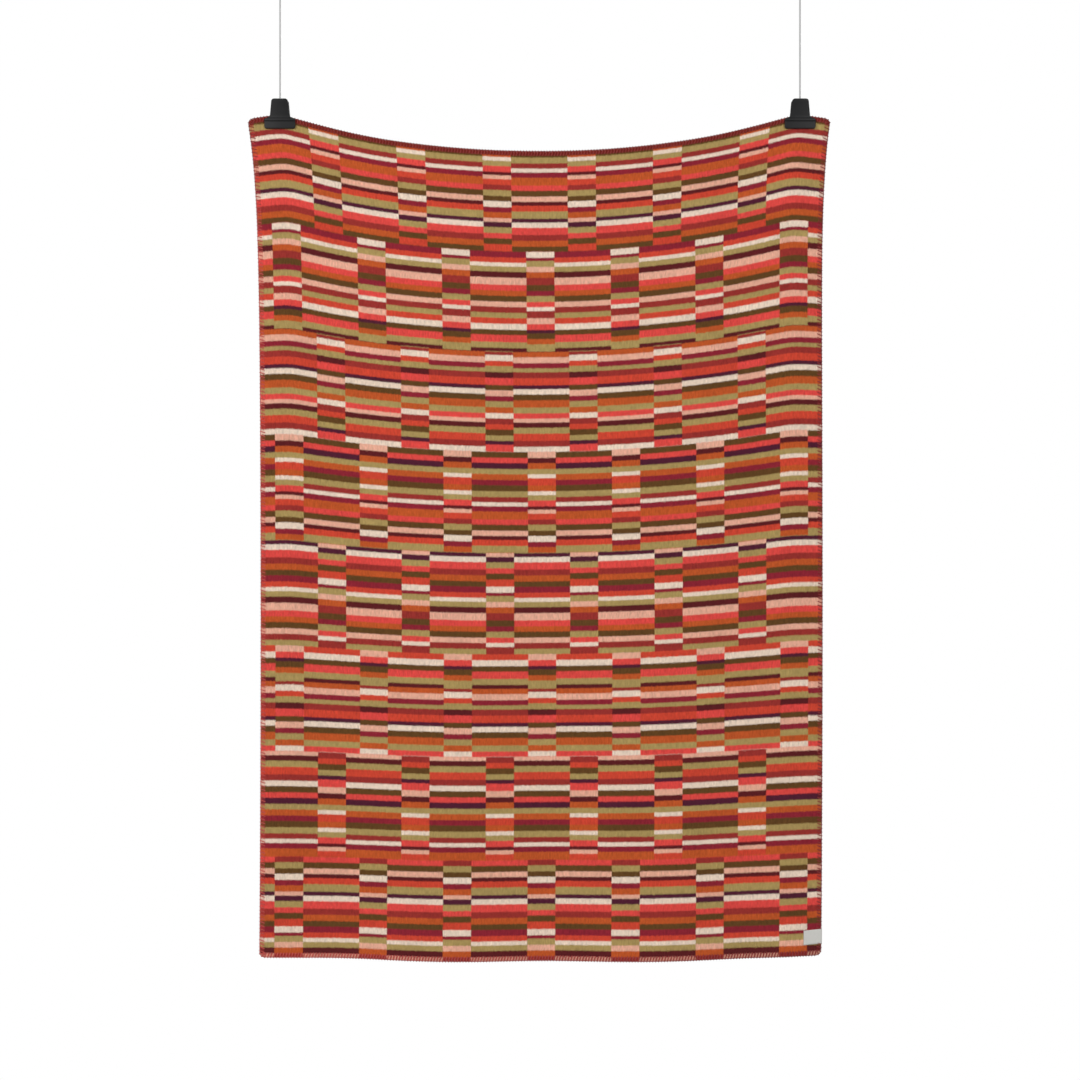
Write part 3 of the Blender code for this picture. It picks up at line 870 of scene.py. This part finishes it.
def clip_outline():
    """Half widths of a clip half at rising heights over the jaw's lower edge."""
    foot = corner_rows(JAW_CORNER, JAW_HALF_WIDTH - JAW_CORNER, JAW_CORNER, -math.pi / 2, 0.0)
    lip = [(height, JAW_HALF_WIDTH) for height in
           (LIP_HEIGHT, (LIP_HEIGHT + RELIEF_HEIGHT) / 2, RELIEF_HEIGHT,
            *(GROOVE_HEIGHT + line for line in GROOVE_LINES))]
    shoulder = corner_rows(JAW_HEIGHT - JAW_CORNER, JAW_HALF_WIDTH - JAW_CORNER, JAW_CORNER,
                           0.0, SHOULDER_TURN)
    start_height, start_half_width = shoulder[-1]
    neck_steps, grip_steps = 8, 6
    neck = []
    for step in range(1, neck_steps + 1):
        share = step / neck_steps
        narrowing = (start_half_width - NECK_HALF_WIDTH) * (1 - share) ** NECK_CURVE
        neck.append((start_height + (NECK_HEIGHT - start_height) * share, NECK_HALF_WIDTH + narrowing))
    grip_top = CLIP_HEIGHT - GRIP_CORNER
    grip = []
    for step in range(1, grip_steps):
        share = step / grip_steps
        grip.append((NECK_HEIGHT + (grip_top - NECK_HEIGHT) * share,
                     NECK_HALF_WIDTH + (GRIP_HALF_WIDTH - NECK_HALF_WIDTH) * share))
    top = corner_rows(grip_top, GRIP_HALF_WIDTH - GRIP_CORNER, GRIP_CORNER, 0.0, math.pi / 2)
    return foot + lip + shoulder[1:] + neck + grip + top


def clip_inner_depth(height):
    relief = (RELIEF_DEPTH - LIP_DEPTH) * smooth_step(height, LIP_HEIGHT, RELIEF_HEIGHT)
    above = max(height - RELIEF_HEIGHT, 0.0) / (CLIP_HEIGHT - RELIEF_HEIGHT)
    return LIP_DEPTH + relief + (GRIP_DEPTH - RELIEF_DEPTH) * above ** GRIP_SPREAD


def clip_outer_depth(height):
    """The outer face: flat over the jaw, a groove, a proud band, then one wall off the inner face."""
    band = smooth_step(height, GROOVE_HEIGHT, GROOVE_HEIGHT + BAND_FULL)
    band *= BAND_RISE * (1 - smooth_step(height, GROOVE_HEIGHT + BAND_FALL, BAND_TOP))
    groove = GROOVE_DEPTH if abs(height - GROOVE_HEIGHT) < GROOVE_HALF else 0.0
    return max(JAW_FACE_DEPTH, clip_inner_depth(height) + CLIP_WALL) + band - groove


def plate_section(half_width, inner, outer):
    """A closed section of the plate with its corners rounded, as (across, depth)."""
    soft = min(PLATE_CORNER, (outer - inner) * PLATE_CORNER_SHARE)
    reach = half_width - soft
    steps = 4
    points = []
    for centre_x, centre_y, start in ((reach, inner + soft, -90), (reach, outer - soft, 0),
                                      (-reach, outer - soft, 90), (-reach, inner + soft, 180)):
        for step in range(steps + 1):
            angle = math.radians(start + 90 * step / steps)
            points.append((centre_x + soft * math.cos(angle), centre_y + soft * math.sin(angle)))
    return points


def make_clip_half(name, middle_x, side, finish, node):
    """One half of a clip: a curved plate, with two ears that the pin goes through."""
    work = bmesh.new()
    rings = []
    for height, half_width in clip_outline():
        inner, outer = clip_inner_depth(height), clip_outer_depth(height)
        past = 1 - min(height, CLIP_HEIGHT - height, END_ROUNDING) / END_ROUNDING
        thinned = END_THINNING * (outer - inner) * (1 - math.sqrt(max(1 - past ** 2, 0.0)))
        rings.append([work.verts.new((middle_x + across, side * depth, CLIP_FOOT_Z + height))
                      for across, depth in plate_section(half_width, inner + thinned, outer - thinned)])
    join_rings(work, rings)
    work.faces.new(rings[0])
    work.faces.new(rings[-1])
    ear_x = FRONT_EAR if side < 0 else BACK_EAR
    for way in (-1, 1):
        add_ear(work, middle_x + way * ear_x, side)
    bmesh.ops.recalc_face_normals(work, faces=work.faces)
    return place_piece(name, mesh_from(work, name, crease=50), finish, [node])


def add_ear(work, x, side):
    """A rounded lug from a clip half's inner face to the pin."""
    centre = Vector((x, 0.0, CLIP_FOOT_Z + SPRING_HEIGHT))
    depth = clip_inner_depth(SPRING_HEIGHT) + EAR_SUNK
    radius = PIN_RADIUS + EAR_RIM
    foot = radius + EAR_FOOT
    steps = 12
    angles = [math.pi / 2 + math.pi * step / steps for step in range(steps + 1)]
    shape = [(side * radius * math.cos(angle), radius * math.sin(angle)) for angle in angles]
    shape += [(side * depth, -foot), (side * depth, foot)]
    rings = [[work.verts.new(centre + Vector((offset, y, z))) for y, z in shape]
             for offset in (-EAR_THICKNESS / 2, EAR_THICKNESS / 2)]
    join_rings(work, rings)
    work.faces.new(list(reversed(rings[0])))
    work.faces.new(rings[1])


def make_clip_spring(name, middle_x, finish, node):
    """Two coils of sprung wire on a pin, each with an arm behind the front and the back grip."""
    axis = Vector((middle_x, 0.0, CLIP_FOOT_Z + SPRING_HEIGHT))
    steps = 14
    paths = []
    for way in (-1, 1):
        coil = []
        for step in range(COIL_TURNS * steps + 1):
            angle = math.pi + 2 * math.pi * step / steps
            across = way * (COIL_START + COIL_PITCH * step / steps)
            coil.append(axis + Vector((across, COIL_RADIUS * math.cos(angle), COIL_RADIUS * math.sin(angle))))
        front_arm = [arm_point(axis, coil[0].x, -1, rise) for rise in ARM_RISES]
        back_arm = [arm_point(axis, coil[-1].x, 1, rise) for rise in reversed(ARM_RISES)]
        # The last half turn is left off, so that the wire leaves for the back grip
        paths.append((front_arm + coil[:-(steps // 2)] + back_arm, WIRE_RADIUS))
    half = PIN_LENGTH / 2
    pin = [axis + Vector((x, 0.0, 0.0)) for x in (-half, -half + 1 * MM, 0.0, half - 1 * MM, half)]
    paths.append((pin, PIN_RADIUS))
    return place_piece(name, tube_mesh(name, paths, 10), finish, [node])


def arm_point(axis, x, side, rise):
    depth = clip_inner_depth(SPRING_HEIGHT + rise) - WIRE_RADIUS - TOUCH
    return Vector((x, side * depth, axis.z + rise))


def make_line(name, middle_x, finish, node):
    """A taut line from the clip's spring to its ceiling fitting."""
    curve = bpy.data.curves.new(name, "CURVE")
    curve.dimensions = "3D"
    curve.bevel_depth = LINE_RADIUS
    curve.bevel_resolution = 3
    curve.use_fill_caps = True
    spline = curve.splines.new("POLY")
    spline.points.add(LINE_POINTS - 1)
    for number, point in enumerate(spline.points):
        height = LINE_LOW + (LINE_HIGH - LINE_LOW) * number / (LINE_POINTS - 1)
        point.co = (middle_x, 0.0, height, 1.0)
    return place_piece(name, curve, finish, [node])


def make_knot(name, middle_x, finish):
    """The line's end, wound twice round the pin and tied in a small barrel knot above it."""
    axis = Vector((middle_x, 0.0, CLIP_FOOT_Z + SPRING_HEIGHT))
    around = PIN_RADIUS + LINE_RADIUS + TOUCH
    knot_radius = 2 * LINE_RADIUS + KNOT_SLACK
    knot_foot = around + LINE_RADIUS + KNOT_LIFT
    loop_turns, knot_turns, steps = 2, 3, 14
    loop, knot = [], []
    for step in range(loop_turns * steps + 1):
        turn = step / steps
        angle = math.pi / 2 + 2 * math.pi * turn
        across = LOOP_PITCH * (turn - loop_turns / 2)
        loop.append(axis + Vector((across, around * math.cos(angle), around * math.sin(angle))))
    for step in range(knot_turns * steps + 1):
        turn = step / steps
        angle = math.pi / 2 + 2 * math.pi * turn
        rise = knot_foot + KNOT_PITCH * turn
        knot.append(axis + Vector((knot_radius * math.cos(angle), knot_radius * math.sin(angle), rise)))
    mesh = tube_mesh(name, [(loop, LINE_RADIUS), (knot, KNOT_THREAD)], 8)
    return place_piece(name, mesh, finish)


def fitting_profile():
    """Radii and heights of a ceiling fitting: a plate with a soft rim, and a boss that tapers."""
    rim_steps, boss_steps = 6, 8
    profile = [(FITTING_RADIUS - PLATE_LIP, 0.0)]
    for step in range(rim_steps + 1):
        angle = math.pi / 2 * (1 - step / rim_steps)
        profile.append((FITTING_RADIUS - PLATE_ROUNDING + PLATE_ROUNDING * math.cos(angle),
                        (PLATE_WIDEST - PLATE_LIP) * math.sin(angle) - PLATE_WIDEST))
    profile.append((FITTING_RADIUS - SMALL_BREAK, SMALL_BREAK - PLATE_HEIGHT))
    boss_height = FITTING_HEIGHT - PLATE_HEIGHT - 2 * SMALL_BREAK
    for step in range(boss_steps + 1):
        share = step / boss_steps
        radius = BOSS_END_RADIUS + (BOSS_RADIUS - BOSS_END_RADIUS) * (1 - share) ** BOSS_CURVE
        profile.append((radius, -PLATE_HEIGHT - boss_height * share))
    return profile + [(BOSS_END_RADIUS - SMALL_BREAK, -FITTING_HEIGHT)]


def make_fitting(name, middle_x, finish, node):
    """A turned ceiling fitting, which the line goes into."""
    work = bmesh.new()
    sides = 48
    turns = [2 * math.pi * side / sides for side in range(sides)]
    rings = [[work.verts.new((middle_x + radius * math.cos(t), radius * math.sin(t), height)) for t in turns]
             for radius, height in fitting_profile()]
    join_rings(work, rings)
    for ring in (rings[0], rings[-1]):
        tip = work.verts.new((middle_x, 0.0, ring[0].co.z))
        for here, there in zip(ring, ring[1:] + ring[:1]):
            work.faces.new((here, there, tip))
    bmesh.ops.recalc_face_normals(work, faces=work.faces)
    return place_piece(name, mesh_from(work, name, crease=40), finish, [node])


def make_camera():
    middle_z = -(PHOTO_SIZE / 2 - CEILING_PIXEL) * PHOTO_PIXEL
    data = bpy.data.cameras.new("photo_camera")
    data.sensor_width = SENSOR_WIDTH
    data.lens = SENSOR_WIDTH * CAMERA_DISTANCE / (PHOTO_SIZE * PHOTO_PIXEL)
    camera = bpy.data.objects.new("photo_camera", data)
    camera.location = (0.0, -CAMERA_DISTANCE, middle_z)
    camera.rotation_euler = (math.pi / 2, 0.0, 0.0)
    bpy.context.scene.collection.objects.link(camera)
    bpy.context.scene.camera = camera


def make_softbox(softbox):
    data = bpy.data.lights.new(softbox.name, "AREA")
    data.shape = "SQUARE"
    data.size = softbox.size
    data.energy = softbox.power
    light = bpy.data.objects.new(softbox.name, data)
    light.location = softbox.place
    light.rotation_euler = (Vector(AIM) - Vector(softbox.place)).to_track_quat("-Z", "Y").to_euler()
    bpy.context.scene.collection.objects.link(light)


def make_studio():
    """White surroundings, a white floor far below, and soft lights to the left, right and behind."""
    world = bpy.data.worlds.new("white_studio")
    world.use_nodes = True
    tree = world.node_tree
    rays = add_node(tree, "LightPath", {})
    strength = add_node(tree, "MapRange", {"Value": rays.outputs["Is Camera Ray"],
                                           "To Min": SURROUND_LIGHT, "To Max": 1.0})
    feed(tree, tree.nodes["Background"], {"Color": "FFFFFF", "Strength": strength})
    bpy.context.scene.world = world
    bpy.context.scene.view_settings.view_transform = "Standard"
    for softbox in SOFTBOXES:
        make_softbox(softbox)
    work = bmesh.new()
    bmesh.ops.create_cone(work, cap_ends=True, segments=96, radius1=FLOOR_RADIUS, radius2=FLOOR_RADIUS,
                          depth=FLOOR_THICKNESS)
    floor = bpy.data.objects.new("floor", mesh_from(work, "floor"))
    floor.location = (0.0, 0.0, FLOOR_Z)
    floor.data.materials.append(painted_board())
    bpy.context.scene.collection.objects.link(floor)


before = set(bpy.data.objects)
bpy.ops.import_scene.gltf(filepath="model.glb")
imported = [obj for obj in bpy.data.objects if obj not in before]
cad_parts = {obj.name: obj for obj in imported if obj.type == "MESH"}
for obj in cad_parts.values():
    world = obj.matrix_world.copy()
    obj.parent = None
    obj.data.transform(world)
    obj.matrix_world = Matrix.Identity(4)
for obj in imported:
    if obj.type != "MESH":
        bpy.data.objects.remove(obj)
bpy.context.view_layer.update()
make_camera()

line_finish = braided_nylon()
white_finish = moulded_plastic("white_abs", "DEDEDA", "E6E6E2", 0.42, 0.5)
black_finish = moulded_plastic("black_abs", "141415", "1A1A1B", 0.48, 0.25)
steel_finish = spring_steel()
for hand, middle_x in (("left", -CLIP_REACH), ("right", CLIP_REACH)):
    line = make_line(hand + "_taut_line", middle_x, line_finish, hand + "_line")
    fitting = make_fitting(hand + "_turned_fitting", middle_x, white_finish, hand + "_ceiling_fitting")
    knot = make_knot(hand + "_line_knot", middle_x, line_finish)
    for face, side in (("front", -1), ("back", 1)):
        names = (f"{hand}_{face}_jaw", f"{hand}_clip_{face}")
        make_clip_half(names[0], middle_x, side, black_finish, names[1])
    make_clip_spring(hand + "_coil_spring", middle_x, steel_finish, hand + "_clip_spring")

cloth = make_cloth(milled_lambswool())
stitching = make_edge_stitching(two_ply_wool())
label = make_label(woven_tape())
thread = make_label_thread(sewing_thread())
make_studio()
